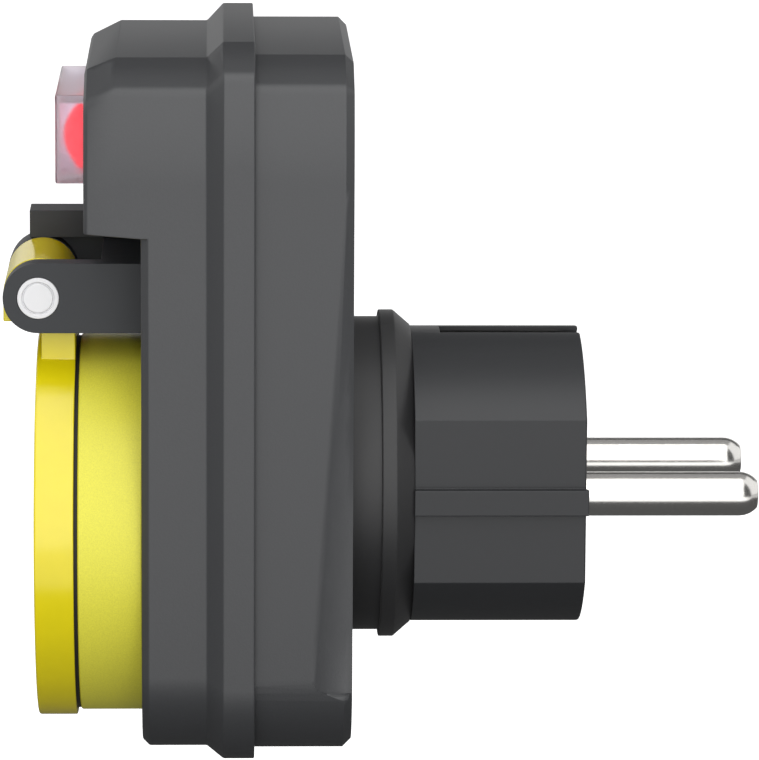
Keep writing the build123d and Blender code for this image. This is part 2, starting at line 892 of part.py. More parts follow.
def make_hinge_pin():
    end = ear_outer + seat_gap
    pin = roller(-end, end, y_hinge, hinge_z, hinge_pin_radius)
    for side in (-1, 1):
        x0, x1 = sorted((side * end, side * (ear_outer - hinge_head_depth + seat_gap)))
        pin += roller(x0, x1, y_hinge, hinge_z, hinge_head_radius)
        x0, x1 = sorted((side * end, side * (end - hinge_groove)))
        ring = roller(x0, x1, y_hinge, hinge_z, hinge_pin_radius + hinge_groove)
        pin -= ring - roller(x0, x1, y_hinge, hinge_z, hinge_pin_radius)
    return pin


def make_lid():
    lid = rod(0, z_socket, lid_radius, y_lid_back, y_lid)
    lid = chamfer(lid.faces().sort_by(Axis.Y)[0].edges(), lid_edge)
    lid -= rod(0, z_socket, lid_radius - lid_rim_width, y_lid_back, y_lid + lid_wall)
    barrel_end = ear_inner - hinge_play
    lid += roller(x_barrel, barrel_end, y_hinge, hinge_z, barrel_radius)
    skirt_front = y_hinge - barrel_radius
    lid += block(x_barrel, barrel_end, skirt_front, y_hinge, hinge_z - skirt_drop, hinge_z)
    low = z_socket + lid_radius - stem_root
    lid += block(x_barrel, barrel_end, y_lid + stem_setback, y_lid_back, low, hinge_z)
    lid -= rod(0, z_socket, recess_radius, y_lid_back, y_lid + lid_wall)
    lid -= roller(x_barrel, barrel_end, y_hinge, hinge_z, hinge_pin_radius + running_gap)
    pocket_end = spring_start + spring_pitch * spring_turns + spring_pitch
    lid -= roller(x_barrel, pocket_end, y_hinge, hinge_z, spring_pocket)
    leg = spring_path_end(1)
    hole = pocket_end + spring_hole
    lid -= roller(pocket_end, hole, leg.Y, leg.Z, spring_wire + seat_gap)
    inner = gasket_inner - seat_gap
    outer = gasket_outer + seat_gap
    return lid - tube(0, z_socket, outer, inner, y_lid_back, y_lid_back - gasket_depth)


def make_lid_gasket():
    front = y_lid_back - gasket_depth + seat_gap
    return tube(0, z_socket, gasket_outer, gasket_inner, y_collar - seat_gap, front)


def spring_coil():
    start = (spring_start, y_hinge, hinge_z)
    return coil(start, spring_wire, spring_pitch, spring_turns, spring_radius, (1, 0, 0))


def spring_path_end(which):
    """First or last point of the lid spring's coil."""
    return spring_coil()[1] @ which


def make_lid_spring():
    spring, path = spring_coil()
    first = path @ 0
    last = path @ 1
    pocket_end = last.X + spring_pitch
    spring += roller(x_spacer - spring_leg, first.X, first.Y, first.Z, spring_wire)
    spring += roller(last.X, pocket_end + spring_leg, last.Y, last.Z, spring_wire)
    for joint in (first, last):
        spring += Pos(*joint) * Sphere(spring_wire)
    return spring


def switch_block(half_width, half_height, y0, y1):
    """Box centred on the switch."""
    return block(-half_width, half_width, y0, y1, switch_z - half_height, switch_z + half_height)


def make_switch_cap():
    front = y_head - cap_proud
    cap = switch_block(cap_half_width, cap_half_height, front, y_head_inside)
    cap = fillet(cap.faces().sort_by(Axis.Y)[0].edges(), cap_edge)
    foot_end = y_head_inside + cap_foot_thickness
    cap += switch_block(switch_flange_half, flange_half_height, y_head_inside, foot_end)
    inner_width = cap_half_width - cap_side_wall
    inner_height = cap_half_height - cap_end_wall
    return cap - switch_block(inner_width, inner_height, front + cap_face_wall, foot_end)


def make_switch_body():
    end = y_switch + switch_length
    body = switch_block(switch_half_width, switch_half_height, y_switch, end)
    flange_end = y_switch + switch_flange_thickness
    body += switch_block(switch_flange_half, flange_half_height, y_switch, flange_end)
    floor = end - switch_floor
    inner_width = switch_half_width - switch_wall
    inner_height = switch_half_height - switch_wall
    body -= switch_block(inner_width, inner_height, y_switch, floor)
    z0 = switch_z - flange_half_height
    z1 = switch_z + flange_half_height
    body -= upright(0, y_pivot, z0, z1, trunnion_radius + running_gap)
    half = terminal_half_height
    x = button_x - pad_width / 2
    body += block(-x - pad_width, -x, y_pad, floor, switch_z - half, switch_z + half)
    saddle = lamp_x + lamp_length / 2 - lamp_saddle
    body += block(
        -saddle, -saddle + lamp_saddle, y_lamp + lamp_radius + seat_gap, floor,
        switch_z - lamp_radius, switch_z + lamp_radius,
    )
    cut = terminal_half_height + seat_gap
    for x0, x1 in terminal_spans:
        body -= block(x0 - seat_gap, x1 + seat_gap, floor, end, switch_z - cut, switch_z + cut)
    return body


def make_rocker():
    wide = rocker_half_width
    top = rocker_half_height
    front = -rocker_reach
    back = front + rocker_depth
    with BuildSketch() as plan:
        with BuildLine():
            ThreePointArc((-wide, front), (0, front + rocker_dish), (wide, front))
            Line((wide, front), (wide, back))
            Line((wide, back), (-wide, back))
            Line((-wide, back), (-wide, front))
        make_face()
    rocker = extrude(Plane.XY.offset(-top) * plan.sketch, amount=2 * top)
    rocker = fillet(rocker.faces().sort_by(Axis.Y)[0].edges(), rocker_edge)
    hub = rocker_hub_radius
    for side in (-1, 1):
        x0, x1 = sorted((side * (hub + rocker_wall), side * (wide - rocker_wall)))
        y0 = front + rocker_dish + rocker_wall
        rocker -= block(x0, x1, y0, back, rocker_wall - top, top - rocker_wall)
    rocker += block(-hub, hub, back - rocker_wall, 0, -top, top)
    rocker += upright(0, 0, -top, top, hub)
    rocker += upright(0, 0, -top - trunnion_length, top + trunnion_length, trunnion_radius)
    rocker += rod(0, 0, plunger_post_radius, plunger_post_length, 0)
    return rocker - rod(0, 0, plunger_radius + seat_gap, plunger_post_length, plunger_bore_end)


def make_plunger():
    front = plunger_reach - plunger_length
    tip = Pos(0, plunger_reach, 0) * Sphere(plunger_radius)
    return rod(0, 0, plunger_radius, plunger_reach, front) + tip


def make_plunger_spring():
    room = plunger_reach - plunger_length - plunger_bore_end - 2 * plunger_wire - 2 * seat_gap
    start = (0, plunger_bore_end + plunger_wire + seat_gap, 0)
    radius = plunger_radius - plunger_wire
    return coil(start, plunger_wire, room / plunger_turns, plunger_turns, radius, (0, 1, 0))[0]


def on_rocker(piece):
    """Puts a piece drawn about the rocker's pivot in its place, with the switch on."""
    return Pos(0, y_pivot, switch_z) * Rot(0, 0, -rocker_tilt) * piece


def make_contact_blade():
    front = -blade_post_radius - seat_gap - blade_thickness
    half = blade_half_height
    blade = block(-blade_half_width, blade_half_width, front, front + blade_thickness, -half, half)
    for side in (-1, 1):
        end = front + blade_thickness + button_height
        blade += rod(side * button_x, 0, button_radius, end, front + blade_thickness)
    return Pos(0, y_blade, switch_z) * Rot(0, 0, blade_tilt) * blade


def make_common_terminal():
    half = terminal_half_height
    end = y_feed - bar_thickness / 2 - seat_gap
    z0 = switch_z - half
    z1 = switch_z + half
    post = block(-blade_post_radius, blade_post_radius, y_blade, end, z0, z1)
    return post + upright(0, y_blade, z0, z1, blade_post_radius)


def make_load_terminal():
    half = terminal_half_height
    z0 = switch_z - half
    z1 = switch_z + half
    x0, x1 = terminal_spans[1]
    pad = block(button_x - pad_width / 2, x1, y_pad, y_pad + terminal_thickness, z0, z1)
    return pad + block(x0, x1, y_pad, y_bar - seat_gap, z0, z1)


def make_lamp_terminal():
    half = terminal_half_height
    x0, x1 = terminal_spans[2]
    top = y_lamp + lamp_radius + seat_gap
    return block(x0, x1, top, y_bar - seat_gap, switch_z - half, switch_z + half)


def make_lamp():
    x0 = -lamp_x - lamp_length / 2
    lamp = roller(x0, x0 + lamp_length, y_lamp, switch_z, lamp_radius)
    return fillet(lamp.faces().sort_by(Axis.X)[0].edges(), lamp_round)


def make_lamp_resistor():
    floor = y_switch + switch_length - switch_floor - seat_gap
    body = rod(resistor_x, switch_z, resistor_radius, floor, floor - resistor_length)
    return fillet(body.edges().filter_by(GeomType.CIRCLE), resistor_round)


pieces = {
    "front_shell": make_front_shell(),
    "rear_shell": make_rear_shell(),
    "shell_seal": make_shell_seal(),
    "casing_screws": make_casing_screws(),
    "plug_insert": make_plug_insert(),
    "sealing_collar": make_sealing_collar(),
    "live_pin": make_pin(1),
    "neutral_pin": make_pin(-1),
    "plug_earth_strap": make_plug_earth_strap(),
    "earth_stud": make_earth_stud(),
    "centre_screw": make_centre_screw(),
    "socket_insert": make_socket_insert(),
    "socket_seal": make_socket_seal(),
    "contact_base": make_contact_base(),
    "live_contact_sleeve": make_sleeve(1),
    "neutral_contact_sleeve": make_sleeve(-1),
    "socket_earth_clips": make_socket_earth_clips(),
    "live_out_bar": make_bar(1),
    "neutral_bar": make_bar(-1),
    "live_feed_bar": make_live_feed_bar(),
    "neutral_link": make_neutral_link(),
    "hinge_bracket": make_hinge_bracket(),
    "bracket_screws": make_bracket_screws(),
    "hinge_pin": make_hinge_pin(),
    "lid_spring": make_lid_spring(),
    "lid": make_lid(),
    "lid_gasket": make_lid_gasket(),
    "switch_cap": make_switch_cap(),
    "switch_body": make_switch_body(),
    "rocker": on_rocker(make_rocker()),
    "plunger": on_rocker(make_plunger()),
    "plunger_spring": on_rocker(make_plunger_spring()),
    "contact_blade": make_contact_blade(),
    "common_terminal": make_common_terminal(),
    "load_terminal": make_load_terminal(),
    "lamp_terminal": make_lamp_terminal(),
    "indicator_lamp": make_lamp(),
    "lamp_resistor": make_lamp_resistor(),
}

os.makedirs("parts", exist_ok=True)
for name, piece in pieces.items():
    export_step(piece, f"parts/{name}.step")
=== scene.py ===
import json
from math import cos, radians, sin

import bmesh
import bpy
from mathutils import Matrix, Vector

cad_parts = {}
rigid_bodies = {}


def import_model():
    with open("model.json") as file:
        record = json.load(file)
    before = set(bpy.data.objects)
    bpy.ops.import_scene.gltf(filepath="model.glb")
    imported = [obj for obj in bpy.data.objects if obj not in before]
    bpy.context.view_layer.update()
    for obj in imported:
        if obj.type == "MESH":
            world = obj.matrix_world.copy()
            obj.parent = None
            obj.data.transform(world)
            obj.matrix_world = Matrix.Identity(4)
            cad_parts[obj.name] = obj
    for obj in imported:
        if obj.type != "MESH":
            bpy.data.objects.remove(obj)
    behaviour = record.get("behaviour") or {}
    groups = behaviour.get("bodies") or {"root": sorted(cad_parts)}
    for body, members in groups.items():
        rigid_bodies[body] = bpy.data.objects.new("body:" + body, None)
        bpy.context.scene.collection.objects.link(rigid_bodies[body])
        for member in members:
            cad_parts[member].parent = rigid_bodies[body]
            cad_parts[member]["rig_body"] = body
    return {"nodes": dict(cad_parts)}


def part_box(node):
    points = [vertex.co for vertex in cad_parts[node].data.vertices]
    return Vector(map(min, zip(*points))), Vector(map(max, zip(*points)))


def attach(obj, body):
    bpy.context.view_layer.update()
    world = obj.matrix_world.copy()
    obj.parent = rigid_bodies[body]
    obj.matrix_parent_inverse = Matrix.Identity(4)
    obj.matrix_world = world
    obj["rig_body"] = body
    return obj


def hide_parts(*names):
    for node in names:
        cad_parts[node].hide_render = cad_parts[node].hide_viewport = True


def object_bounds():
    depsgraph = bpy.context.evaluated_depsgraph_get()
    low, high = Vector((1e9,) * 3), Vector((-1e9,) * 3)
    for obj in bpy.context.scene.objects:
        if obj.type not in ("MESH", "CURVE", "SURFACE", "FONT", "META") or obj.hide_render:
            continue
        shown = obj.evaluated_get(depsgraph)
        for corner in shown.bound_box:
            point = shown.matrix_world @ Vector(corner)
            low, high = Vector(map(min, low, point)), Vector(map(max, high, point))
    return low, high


bl_info = {
    "name": "Switched plug adapter",
    "version": (1, 0, 0),
    "blender": (4, 5, 0),
    "location": "View3D > Sidebar > Adapter",
    "description": "Dresses and lights a splash-proof plug adapter with a hooded switch and a lid",
    "category": "Object",
}

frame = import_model()
cad_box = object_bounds()
MM = 0.001

# The camera faces the end of the hinge pin from a little above, panned a little off its target.
CAMERA_TARGET = Vector((0, -39.69, 10.37)) * MM
CAMERA_DISTANCE = 582.47 * MM
CAMERA_ELEVATION = radians(10.694)
CAMERA_PAN = radians(1.755)
CAMERA_LENS = 251.16
CAMERA_REACH = 20

# How the copy of a CAD node is cleaned: doubles this near are merged, and faces this flat joined
WELD = 0.001 * MM
FLAT = radians(0.1)

# Edges that turn by more than ROUNDED are eased. Shading is smooth over those below SHARP.
ROUNDED = radians(28)
SHARP = radians(25)
BEVEL_SEGMENTS = 2

# The rocker's key, which gets its curved face: its height, and how deep the curve reaches
KEY_HEIGHT = 7.2 * MM
KEY_DEPTH = 4.5 * MM

# Paper of the floor: its grey as light bounces off it, its grey as it is seen, and the lift to white
FLOOR_HALF_WIDTH = 6
PAPER_BOUNCE = 0.25
PAPER_SEEN = 0.8
PAPER_LIFT = 0.7


def linear(hex_colour):
    """Linear colour of an sRGB hex value."""
    channels = [int(hex_colour[i : i + 2], 16) / 255 for i in (1, 3, 5)]
    return tuple(c / 12.92 if c <= 0.04045 else ((c + 0.055) / 1.055) ** 2.4 for c in channels)


def rgba(colour):
    return (*colour, 1.0)


def grey(level):
    return (level, level, level, 1.0)


def add(tree, kind, settings=None, inputs=None, links=None):
    """Adds a node to a tree, with its settings, its socket values and its incoming links."""
    node = tree.nodes.new(kind)
    for name, value in (settings or {}).items():
        setattr(node, name, value)
    for name, value in (inputs or {}).items():
        node.inputs[name].default_value = value
    for name, source in (links or {}).items():
        tree.links.new(source, node.inputs[name])
    return node


def new_material(name):
    """An empty material and its node tree."""
    material = bpy.data.materials.new(name)
    material.use_nodes = True
    material.node_tree.nodes.clear()
    return material, material.node_tree


def grained(name, colour, size, depth, contrast, values, detail=2.0, spread=None):
    """Material with an even grain, which gives it bump and makes its colour lighter and darker.

    The grain's size and depth are in metres. The values go on the shader's own sockets. A spread
    is the lowest and highest roughness over the grain.
    """
    material, tree = new_material(name)
    place = add(tree, "ShaderNodeTexCoord")
    noise = add(
        tree,
        "ShaderNodeTexNoise",
        inputs={"Scale": 1 / size, "Detail": detail, "Roughness": 0.6},
        links={"Vector": place.outputs["Object"]},
    )
    height = noise.outputs["Fac"]
    bump = add(
        tree,
        "ShaderNodeBump",
        inputs={"Strength": 1.0, "Distance": depth},
        links={"Height": height},
    )
    ramp = add(tree, "ShaderNodeValToRGB", links={"Fac": height})
    low, high = ramp.color_ramp.elements
    low.position = 0.3
    high.position = 0.7
    low.color = rgba([c * (1 - contrast) for c in colour])
    high.color = rgba([min(1, c * (1 + contrast)) for c in colour])
    links = {"Base Color": ramp.outputs["Color"], "Normal": bump.outputs["Normal"]}
    if spread:
        least, most = spread
        roughness = add(
            tree,
            "ShaderNodeMapRange",
            inputs={"To Min": least, "To Max": most},
            links={"Value": height},
        )
        links["Roughness"] = roughness.outputs["Result"]
    shader = add(tree, "ShaderNodeBsdfPrincipled", inputs=values, links=links)
    add(tree, "ShaderNodeOutputMaterial", links={"Surface": shader.outputs["BSDF"]})
    return material


def eroded_abs(name, colour, size, depth, contrast, sheen):
    """ABS from a spark-eroded mould. Its even fine grain scatters the light, so it looks matte."""
    # The real grain is about 0.1 mm or finer and wouldn't show, so it is drawn coarser.
    values = {"Roughness": 0.44, "IOR": 1.46, "Specular IOR Level": sheen}
    return grained(name, colour, size, depth, contrast, values)


def satin_plastic(name, colour, roughness):
    """Plastic from a stoned mould. It is smooth to the eye, with a soft sheen and faint flow marks."""
    return grained(
        name,
        colour,
        size=0.9 * MM,
        depth=0.002 * MM,
        contrast=0.03,
        values={"IOR": 1.46, "Specular IOR Level": 0.42},
        detail=3.0,
        spread=(roughness * 0.92, roughness * 1.08),
    )


def polished_plastic(name, colour, roughness, gloss):
    """Plastic from a polished mould, or lacquer. It mirrors lamps crisply over its full colour."""
    return grained(
        name,
        colour,
        size=2.5 * MM,
        depth=0.0015 * MM,
        contrast=0.015,
        values={"Roughness": roughness, "IOR": 1.5, "Specular IOR Level": gloss},
    )


def worked_metal(name, colour, roughness):
    """Rolled, drawn or turned metal, plated or bare. Fine marks blur what it mirrors a little."""
    return grained(
        name,
        colour,
        size=0.35 * MM,
        depth=0.0006 * MM,
        contrast=0.02,
        values={"Metallic": 1.0},
        detail=3.0,
        spread=(roughness * 0.8, roughness * 1.25),
    )


def moulded_rubber(name, colour, roughness):
    """Soft thermoplastic rubber. It has a dull bloom and no crisp highlight."""
    return grained(
        name,
        colour,
        size=0.3 * MM,
        depth=0.003 * MM,
        contrast=0.05,
        values={"Roughness": roughness, "IOR": 1.5, "Sheen Weight": 0.05, "Sheen Roughness": 0.4},
    )


def frosted_hood(name, colour):
    """Soft clear vinyl, frosted inside. It blurs what lies behind it and tints it faintly."""
    return grained(
        name,
        colour,
        size=0.2 * MM,
        depth=0.004 * MM,
        contrast=0.01,
        values={"Roughness": 0.3, "IOR": 1.42, "Specular IOR Level": 0.3, "Transmission Weight": 1.0},
    )


def lit_abs(name, colour, glow, strength):
    """Translucent tinted ABS with a lamp behind it, so it glows a little in its own colour."""
    return grained(
        name,
        colour,
        size=0.6 * MM,
        depth=0.001 * MM,
        contrast=0.02,
        values={
            "Roughness": 0.2,
            "IOR": 1.5,
            "Emission Color": rgba(glow),
            "Emission Strength": strength,
        },
    )


def lamp_glass(name, colour, strength):
    """Glass envelope of a small neon lamp with its orange glow."""
    return grained(
        name,
        colour,
        size=1.0 * MM,
        depth=0.001 * MM,
        contrast=0.02,
        values={
            "Roughness": 0.05,
            "IOR": 1.5,
            "Transmission Weight": 0.6,
            "Emission Color": rgba(colour),
            "Emission Strength": strength,
        },
    )


def dress(material, *names):
    """Gives CAD nodes a material."""
    for name in names:
        mesh = frame["nodes"][name].data
        mesh.materials.clear()
        mesh.materials.append(material)


def mesh_object(name, bm):
    """Turns a bmesh into an object at the origin."""
    mesh = bpy.data.meshes.new(name)
    bm.to_mesh(mesh)
    bm.free()
    obj = bpy.data.objects.new(name, mesh)
    bpy.context.scene.collection.objects.link(obj)
    return obj


def cad_copy(node):
    """Merged copy of a CAD node, with each flat face in one piece."""
    bm = bmesh.new()
    bm.from_mesh(frame["nodes"][node].data)
    bmesh.ops.remove_doubles(bm, verts=bm.verts, dist=WELD)
    bmesh.ops.dissolve_limit(bm, angle_limit=FLAT, verts=bm.verts, edges=bm.edges)
    return bm


def ease_edges(bm, width):
    """Rounds the sharp edges by the small radius that a mould or a tool leaves."""
    sharp = [e for e in bm.edges if len(e.link_faces) == 2 and e.calc_face_angle() > ROUNDED]
    bmesh.ops.bevel(
        bm,
        geom=sharp,
        offset=width,
        offset_type="OFFSET",
        affect="EDGES",
        segments=BEVEL_SEGMENTS,
        profile=0.5,
        material=-1,
        clamp_overlap=False,
    )


def finish_piece(bm, name, node, material):
    """Makes a piece that stands for a CAD node, with its shading, material and body, and hides the
    node.
    """
    for face in bm.faces:
        face.smooth = True
    obj = mesh_object(name, bm)
    obj.data.set_sharp_from_angle(angle=SHARP)
    obj.data.materials.append(material)
    shading = obj.modifiers.new("even_shading", "WEIGHTED_NORMAL")
    shading.keep_sharp = True
    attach(obj, frame["nodes"][node]["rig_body"])
    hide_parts(node)


def eased(node, name, material, width):
    """Makes a piece from a CAD node with eased edges."""
    bm = cad_copy(node)
    ease_edges(bm, width)
    finish_piece(bm, name, node, material)


def colour_property(name, description, default):
    return bpy.props.FloatVectorProperty(
        name=name,
        description=description,
        subtype="COLOR",
        size=3,
        min=0,
        max=1,
        default=linear(default),
    )


def length_property(name, description, default):
    return bpy.props.FloatProperty(
        name=name, description=description, unit="LENGTH", min=0, default=default
    )


def level_property(name, description, default):
    return bpy.props.FloatProperty(name=name, description=description, min=0, default=default)


class AdapterColours(bpy.types.PropertyGroup):
    """Colours of the adapter's mouldings."""

    casing: colour_property("Casing", "Grained ABS of the two casing halves", "#38393B")
    plug: colour_property("Plug", "Satin ABS of the plug body", "#2C2D2F")
    bracket: colour_property("Bracket", "Satin ABS of the hinge bracket", "#303235")
    collar: colour_property("Sealing collar", "Rubber of the collar behind the plug", "#282829")
    lid: colour_property("Lid", "Polished ABS of the hinged lid", "#E4D30E")
    socket: colour_property("Socket", "Grained ABS of the socket", "#E2DC46")
    hood: colour_property("Hood", "Vinyl hood over the switch", "#F0E6F2")
    rocker: colour_property("Rocker", "Tinted ABS of the rocker", "#F01E30")


class AdapterSizes(bpy.types.PropertyGroup):
    """Radii of the eased edges, and the curve of the rocker's face."""

    casing_edge: length_property("Casing edge", "Radius along the front casing half", 0.14 * MM)
    plug_edge: length_property(
        "Plug edge", "Radius along the plug body, its collar and the switch's hood", 0.1 * MM
    )
    bracket_edge: length_property("Bracket edge", "Radius along the hinge bracket", 0.05 * MM)
    lid_edge: length_property("Lid edge", "Radius along the lid and the socket", 0.12 * MM)
    pin_edge: length_property(
        "Pin edge", "Radius along the plug's pins, the hinge pin and the rocker", 0.1 * MM
    )
    rocker_crown: length_property(
        "Rocker crown", "How far the rocker's face falls back at its top and bottom", 1.6 * MM
    )


class AdapterStage(bpy.types.PropertyGroup):
    """Height of the set's floor and the levels of its lights and cloths."""

    floor_gap: length_property("Floor gap", "How far the floor lies below the casing", 35 * MM)
    strip_level: level_property(
        "Strip light", "Brightness of the tall soft light on the hinge side", 3.1
    )
    low_level: level_property(
        "Low light", "Brightness of the soft light on the floor on the hinge side", 1.5
    )
    horizon_level: level_property(
        "Horizon", "Brightness of the cloth above the horizon behind the adapter, in gloss", 0.85
    )
    shoulder_level: level_property(
        "Shoulder", "Brightness of the cloth just behind the strip light, in gloss", 0.35
    )
    flag_level: level_property("Flags", "Brightness of the dark cloths that gloss mirrors", 0.1)
    room_level: level_property("Room light", "Brightness of the light from all round", 0.56)


class ADAPTER_OT_casing(bpy.types.Operator):
    """Makes the two casing halves and gives their screws and seals their finish"""

    bl_idname = "adapter.casing"
    bl_label = "Casing"

    def execute(self, context):
        colours = context.scene.adapter_colours
        sizes = context.scene.adapter_sizes
        shell = eroded_abs(
            "casing_eroded_abs",
            colours.casing,
            size=0.22 * MM,
            depth=0.01 * MM,
            contrast=0.04,
            sheen=0.6,
        )
        eased("front_shell", "front_shell_moulding", shell, sizes.casing_edge)
        # The foot of the grip runs out too finely for this half to be eased.
        finish_piece(cad_copy("rear_shell"), "rear_shell_moulding", "rear_shell", shell)
        steel = worked_metal("screw_zinc_plated_steel", linear("#B9BBBE"), roughness=0.32)
        dress(steel, "casing_screws", "bracket_screws", "centre_screw")
        seal = moulded_rubber("seal_black_rubber", linear("#1B1B1C"), roughness=0.7)
        dress(seal, "shell_seal", "socket_seal", "lid_gasket")
        return {"FINISHED"}


class ADAPTER_OT_plug(bpy.types.Operator):
    """Makes the plug body, its collar and its pins and gives the earth path its finish"""

    bl_idname = "adapter.plug"
    bl_label = "Plug"

    def execute(self, context):
        colours = context.scene.adapter_colours
        sizes = context.scene.adapter_sizes
        body = satin_plastic("plug_satin_abs", colours.plug, roughness=0.42)
        eased("plug_insert", "plug_body_moulding", body, sizes.plug_edge)
        rubber = moulded_rubber("collar_rubber", colours.collar, roughness=0.5)
        eased("sealing_collar", "sealing_collar_ring", rubber, sizes.plug_edge)
        nickel = worked_metal("pin_polished_nickel", linear("#E6E4E0"), roughness=0.2)
        for pole in ("live", "neutral"):
            eased(pole + "_pin", pole + "_pin_turned", nickel, sizes.pin_edge)
        strip = worked_metal("strip_nickel_plate", linear("#C9C6C0"), roughness=0.22)
        dress(strip, "plug_earth_strap", "socket_earth_clips", "earth_stud")
        return {"FINISHED"}


class ADAPTER_OT_socket(bpy.types.Operator):
    """Makes the socket and gives its floor its finish"""

    bl_idname = "adapter.socket"
    bl_label = "Socket"

    def execute(self, context):
        colours = context.scene.adapter_colours
        sizes = context.scene.adapter_sizes
        body = eroded_abs(
            "socket_eroded_abs",
            colours.socket,
            size=0.14 * MM,
            depth=0.012 * MM,
            contrast=0.08,
            sheen=0.5,
        )
        eased("socket_insert", "socket_moulding", body, sizes.lid_edge)
        dress(body, "contact_base")
        return {"FINISHED"}


class ADAPTER_OT_lid(bpy.types.Operator):
    """Makes the lid, its bracket and its pin and gives the springs their finish"""

    bl_idname = "adapter.lid"
    bl_label = "Lid and hinge"

    def execute(self, context):
        colours = context.scene.adapter_colours
        sizes = context.scene.adapter_sizes
        polished = polished_plastic("lid_polished_abs", colours.lid, roughness=0.2, gloss=0.6)
        eased("lid", "lid_moulding", polished, sizes.lid_edge)
        satin = satin_plastic("bracket_satin_abs", colours.bracket, roughness=0.5)
        eased("hinge_bracket", "hinge_bracket_moulding", satin, sizes.bracket_edge)
        white = polished_plastic(
            "hinge_pin_white_acetal", linear("#E2E2E4"), roughness=0.25, gloss=0.5
        )
        eased("hinge_pin", "hinge_pin_moulding", white, sizes.pin_edge)
        wire = worked_metal("spring_steel_wire", linear("#A9ABAD"), roughness=0.25)
        dress(wire, "lid_spring", "plunger_spring")
        return {"FINISHED"}


def crown(bm, centre, half_height, depth, fall):
    """Lets a front face fall back in a curve towards its top and bottom edge."""
    steps = 8
    for i in range(1, 2 * steps):
        bmesh.ops.bisect_plane(
            bm,
            geom=[*bm.verts, *bm.edges, *bm.faces],
            plane_co=(0, 0, centre.z + half_height * (i / steps - 1)),
            plane_no=(0, 0, 1),
        )
    front = min(v.co.y for v in bm.verts)
    for vert in bm.verts:
        near = max(0, 1 - (vert.co.y - front) / depth)
        away = min(1, abs(vert.co.z - centre.z) / half_height)
        vert.co.y += fall * near * away**2


class ADAPTER_OT_switch(bpy.types.Operator):
    """Makes the hood and the rocker and gives the switch its finish"""

    bl_idname = "adapter.switch"
    bl_label = "Switch"

    def execute(self, context):
        colours = context.scene.adapter_colours
        sizes = context.scene.adapter_sizes
        vinyl = frosted_hood("hood_frosted_vinyl", colours.hood)
        eased("switch_cap", "switch_hood_moulding", vinyl, sizes.plug_edge)
        red = lit_abs("rocker_tinted_abs", colours.rocker, linear("#FF1C2C"), strength=0.75)
        bm = cad_copy("rocker")
        low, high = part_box("rocker")
        crown(bm, (low + high) / 2, KEY_HEIGHT / 2, KEY_DEPTH, sizes.rocker_crown)
        ease_edges(bm, sizes.pin_edge)
        finish_piece(bm, "rocker_key", "rocker", red)
        nylon = satin_plastic("switch_black_nylon", linear("#202122"), roughness=0.5)
        dress(nylon, "switch_body", "plunger")
        glass = lamp_glass("lamp_neon_glass", linear("#FF9A6A"), strength=1.0)
        dress(glass, "indicator_lamp")
        lacquer = polished_plastic("resistor_lacquer", linear("#B79A6A"), roughness=0.3, gloss=0.5)
        dress(lacquer, "lamp_resistor")
        return {"FINISHED"}


class ADAPTER_OT_contacts(bpy.types.Operator):
    """Gives the brass parts inside the casing their finish"""

    bl_idname = "adapter.contacts"
    bl_label = "Contacts"

    def execute(self, context):
        brass = worked_metal("contact_rolled_brass", linear("#D9B36B"), roughness=0.3)
        dress(
            brass,
            "live_contact_sleeve",
            "neutral_contact_sleeve",
            "live_out_bar",
            "neutral_bar",
            "live_feed_bar",
            "neutral_link",
            "contact_blade",
            "common_terminal",
            "load_terminal",
            "lamp_terminal",
        )
        return {"FINISHED"}


def cloth(name, level):
    """Cloth of a light box, as bright as its lamps make it, or dark cloth at a low level."""
    material, tree = new_material(name)
    glow = add(tree, "ShaderNodeEmission", inputs={"Strength": level})
    add(tree, "ShaderNodeOutputMaterial", links={"Surface": glow.outputs["Emission"]})
    return material


def hung(name, bm, level, lights):
    """Hangs a cloth about the adapter, out of the camera's sight."""
    bmesh.ops.translate(bm, verts=bm.verts, vec=CAMERA_TARGET)
    obj = mesh_object(name, bm)
    obj.data.materials.append(cloth(name + "_cloth", level))
    obj.visible_camera = False
    # A cloth that isn't a light neither lights nor shades the adapter. Only reflections show it.
    obj.visible_diffuse = lights
    obj.visible_shadow = lights
    obj.visible_transmission = lights


def arched_cloth(name, radius, half_width, low, high, level, lights=True):
    """Cloth bent over the adapter, between two angles in degrees from the hinge side's horizon."""
    bm = bmesh.new()
    turn = Matrix.Rotation(-radians(low), 4, "Y")
    ends = [turn @ Vector((radius, side * half_width, 0)) for side in (-1, 1)]
    verts = [bm.verts.new(p) for p in ends]
    edge = bm.edges.new(verts)
    bmesh.ops.spin(
        bm,
        geom=[*verts, edge],
        axis=(0, -1, 0),
        cent=(0, 0, 0),
        angle=radians(high) - radians(low),
        steps=24,
    )
    hung(name, bm, level, lights)


def flat_cloth(name, centre, size, level, tilt=0, lights=True):
    """Flat cloth on a frame. It lies level, or is tilted by an angle in degrees."""
    bm = bmesh.new()
    bmesh.ops.create_grid(bm, x_segments=1, y_segments=1, size=0.5)
    bmesh.ops.scale(bm, verts=bm.verts, vec=(*size, 1))
    turn = Matrix.Rotation(radians(tilt), 3, "X")
    bmesh.ops.rotate(bm, verts=bm.verts, cent=(0, 0, 0), matrix=turn)
    bmesh.ops.translate(bm, verts=bm.verts, vec=centre)
    hung(name, bm, level, lights)


def any_of(tree, *rays):
    """1 on the kinds of ray that are named, 0 on all others."""
    path = add(tree, "ShaderNodeLightPath")
    value = path.outputs[rays[0]]
    for ray in rays[1:]:
        node = add(
            tree,
            "ShaderNodeMath",
            {"operation": "MAXIMUM"},
            links={0: value, 1: path.outputs[ray]},
        )
        value = node.outputs["Value"]
    return value


